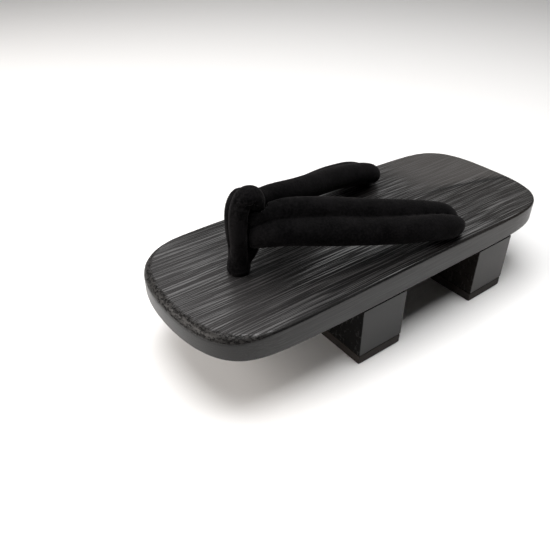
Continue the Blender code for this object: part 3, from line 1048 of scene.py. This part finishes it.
LOOP_CREASES = (
    Crease((-6.8, 84.0, 93.4), (-8.8, 79.0, 92.5), 1.0, 1.60),
    Crease((-8.8, 79.0, 92.5), (-6.6, 72.5, 89.6), 1.0, 1.30),
    Crease((-7.6, 82.0, 91.3), (-8.6, 77.5, 90.4), 1.1, 0.35, Fold.RIDGE),
    Crease((-5.0, 82.5, 97.6), (-5.4, 85.2, 93.6), 1.2, 0.40),
    Crease((-5.4, 85.2, 93.6), (-5.4, 86.5, 87.7), 1.2, 0.35),
    Crease((-8.0, 80.5, 88.5), (-8.0, 83.0, 81.0), 1.2, 0.35),
    Crease((-8.1, 79.5, 84.5), (-7.0, 82.0, 74.0), 1.4, 0.45, Fold.RIDGE),
    Crease((0.0, 81.0, 53.0), (0.0, 81.0, 56.0), 9.0, 1.40, Fold.RIDGE),
    Crease((-6.5, 84.0, 60.5), (-8.0, 78.0, 59.5), 1.1, 0.70),
    Crease((-4.0, 87.0, 61.5), (-7.0, 83.0, 60.2), 1.1, 0.60),
)


# ---------------------------------------------------------------------------------------------------------------------
# Knots under the board


@dataclass
class CordKnot:
    """A cord knot under the board that takes the place of one CAD node.

    Args:
        node: the CAD node's name.
        cord: its finish.
        voxel: how fine it is remeshed, in metres.
        calm: how many times it is smoothed.
    """

    node: str
    cord: bpy.types.Material
    voxel: float = 0.0005
    calm: int = 3

    def build(self) -> bpy.types.Object:
        """Makes the knot from the node's own form."""
        piece = even_skin(self.node, f"{self.node}_cord", self.voxel, self.calm)
        smooth_shaded(piece, self.cord)
        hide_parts(self.node)
        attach(piece, BODY)
        return piece


# ---------------------------------------------------------------------------------------------------------------------
# Studio


@dataclass(frozen=True)
class Softbox:
    """One soft rectangular light that looks at the sandal.

    Args:
        name: the light's name.
        place: where it hangs, in metres.
        size: its width and height, in metres.
        power: its power, in watts.
        tint: its colour.
        glossy_only: whether it only shines in the wax and casts no light on matte surfaces.
    """

    name: str
    place: tuple
    size: tuple
    power: float
    tint: tuple = (1.0, 1.0, 1.0)
    glossy_only: bool = False

    def hang(self, target: Vector) -> None:
        """Hangs the light, facing a target."""
        light = bpy.data.lights.new(self.name, "AREA")
        light.color = self.tint
        light.shape = "RECTANGLE"
        light.size, light.size_y = self.size
        light.energy = self.power
        lamp = bpy.data.objects.new(self.name, light)
        bpy.context.scene.collection.objects.link(lamp)
        lamp.visible_camera = False
        lamp.visible_diffuse = not self.glossy_only
        place = Vector(self.place)
        facing = (target - place).normalized().to_track_quat("-Z", "Y")
        lamp.matrix_world = Matrix.Translation(place) @ facing.to_matrix().to_4x4()


SOFTBOXES = (
    Softbox("high_softbox", (0.00, 0.06, 0.98), (0.78, 0.78), 13.6),
    Softbox("left_softbox", (0.34, 0.83, 0.46), (0.9, 0.6), 9.5, (1.0, 0.95, 0.905)),
    Softbox("back_softbox", (0.555, -0.407, 0.983), (1.9, 0.80), 15.0, glossy_only=True),
    Softbox("backdrop", (0.62, -1.02, 0.42), (2.2, 0.70), 2.4, glossy_only=True),
)


@dataclass
class Studio:
    """White floor, soft light from behind and above, and the photograph's camera.

    Args:
        azimuth: the camera's bearing, in degrees, 0 looking along +Y.
        elevation: its height above the horizon, in degrees.
        distance: how far it stands from its target, in metres.
        target: what it looks at, in metres.
        roll: how far it leans, in degrees.
        focal: its focal length, in pixels.
        picture: the picture's width, in pixels.
        film: the film's width, in millimetres.
        lit: what the lights look at, in metres.
        bright: where the surround is brightest.
    """

    azimuth: float = -126.2175
    elevation: float = 35.8369
    distance: float = 0.42258
    target: Vector = field(default_factory=lambda: Vector((0.06984, 0.00694, -0.02243)))
    roll: float = -0.3405
    focal: float = 579.855
    picture: float = 550.0
    film: float = 36.0
    lit: Vector = field(default_factory=lambda: Vector((0.0, 0.0, 0.03)))
    bright: tuple = (0.60, -0.44, 0.67)

    def build(self) -> None:
        """Sets up the floor, the lights, the world and the camera."""
        self.floor()
        self.world()
        for softbox in SOFTBOXES:
            softbox.hang(self.lit)
        self.camera()
        view = bpy.context.scene.view_settings
        view.view_transform = "Standard"
        view.look = "None"
        view.exposure = 0.0
        view.gamma = 1.0

    def floor(self) -> None:
        """Lays the floor."""
        mesh = bpy.data.meshes.new("studio_floor")
        sheet = bmesh.new()
        bmesh.ops.create_grid(sheet, x_segments=4, y_segments=4, size=6.0)
        sheet.to_mesh(mesh)
        sheet.free()
        mesh.materials.append(PaleFloor().make())
        floor = bpy.data.objects.new("studio_floor", mesh)
        bpy.context.scene.collection.objects.link(floor)

    def world(self) -> None:
        """A pale surround, bright behind the sandal and dim on the camera's side."""
        world = bpy.data.worlds.new("studio_world")
        bpy.context.scene.world = world
        world.use_nodes = True
        n = Nodes(world.node_tree)
        way = n.add("ShaderNodeTexCoord", out="Generated")
        toward = n.add(
            "ShaderNodeVectorMath",
            {"operation": "DOT_PRODUCT"},
            {0: way, 1: self.bright},
            "Value",
        )
        tone = n.blend(toward.rise(0.20, 0.95), (0.035, 0.033, 0.031, 1.0), (0.20, 0.198, 0.196, 1.0))
        end_in(n, "ShaderNodeOutputWorld", n.add("ShaderNodeBackground", None, {"Color": tone, "Strength": 1.0}))

    def camera(self) -> None:
        """Places the camera at the photograph's angle."""
        turn, lift, lean = (math.radians(a) for a in (self.azimuth, self.elevation, self.roll))
        back = Vector((math.sin(turn) * math.cos(lift), -math.cos(turn) * math.cos(lift), math.sin(lift)))
        level = back.cross(Vector((0.0, 0.0, -1.0))).normalized()
        upright = level.cross(-back)
        right = level * math.cos(lean) + upright * math.sin(lean)
        upward = upright * math.cos(lean) - level * math.sin(lean)
        data = bpy.data.cameras.new("photo_camera")
        data.sensor_width = self.film
        data.lens = self.film * self.focal / self.picture
        data.clip_start = 0.01
        camera = bpy.data.objects.new("photo_camera", data)
        bpy.context.scene.collection.objects.link(camera)
        turned = Matrix((right, upward, back)).transposed().to_4x4()
        camera.matrix_world = Matrix.Translation(self.target + back * self.distance) @ turned
        bpy.context.scene.camera = camera


def main() -> None:
    """Builds the pieces in order."""
    logging.basicConfig(level=logging.INFO, format="%(message)s")
    velvet = Velveteen().make()
    cord = TieCord().make()
    WoodenBase().dress()
    strap = PaddedPiece("thong_strap", velvet, cord, 0.0011, 0.0007, 3, 0.75, STRAP_CREASES).build()
    log.info("built %s: %d faces", strap.name, len(strap.data.polygons))
    loop = PaddedPiece("toe_loop", velvet, cord, 0.0008, 0.0004, 3, 0.7, LOOP_CREASES, seam_from=0.014).build()
    log.info("built %s: %d faces", loop.name, len(loop.data.polygons))
    for node in ("front_knot", "rear_tie"):
        knot = CordKnot(node, cord).build()
        log.info("built %s: %d faces", knot.name, len(knot.data.polygons))
    Studio().build()


if __name__ == "__main__":
    main()
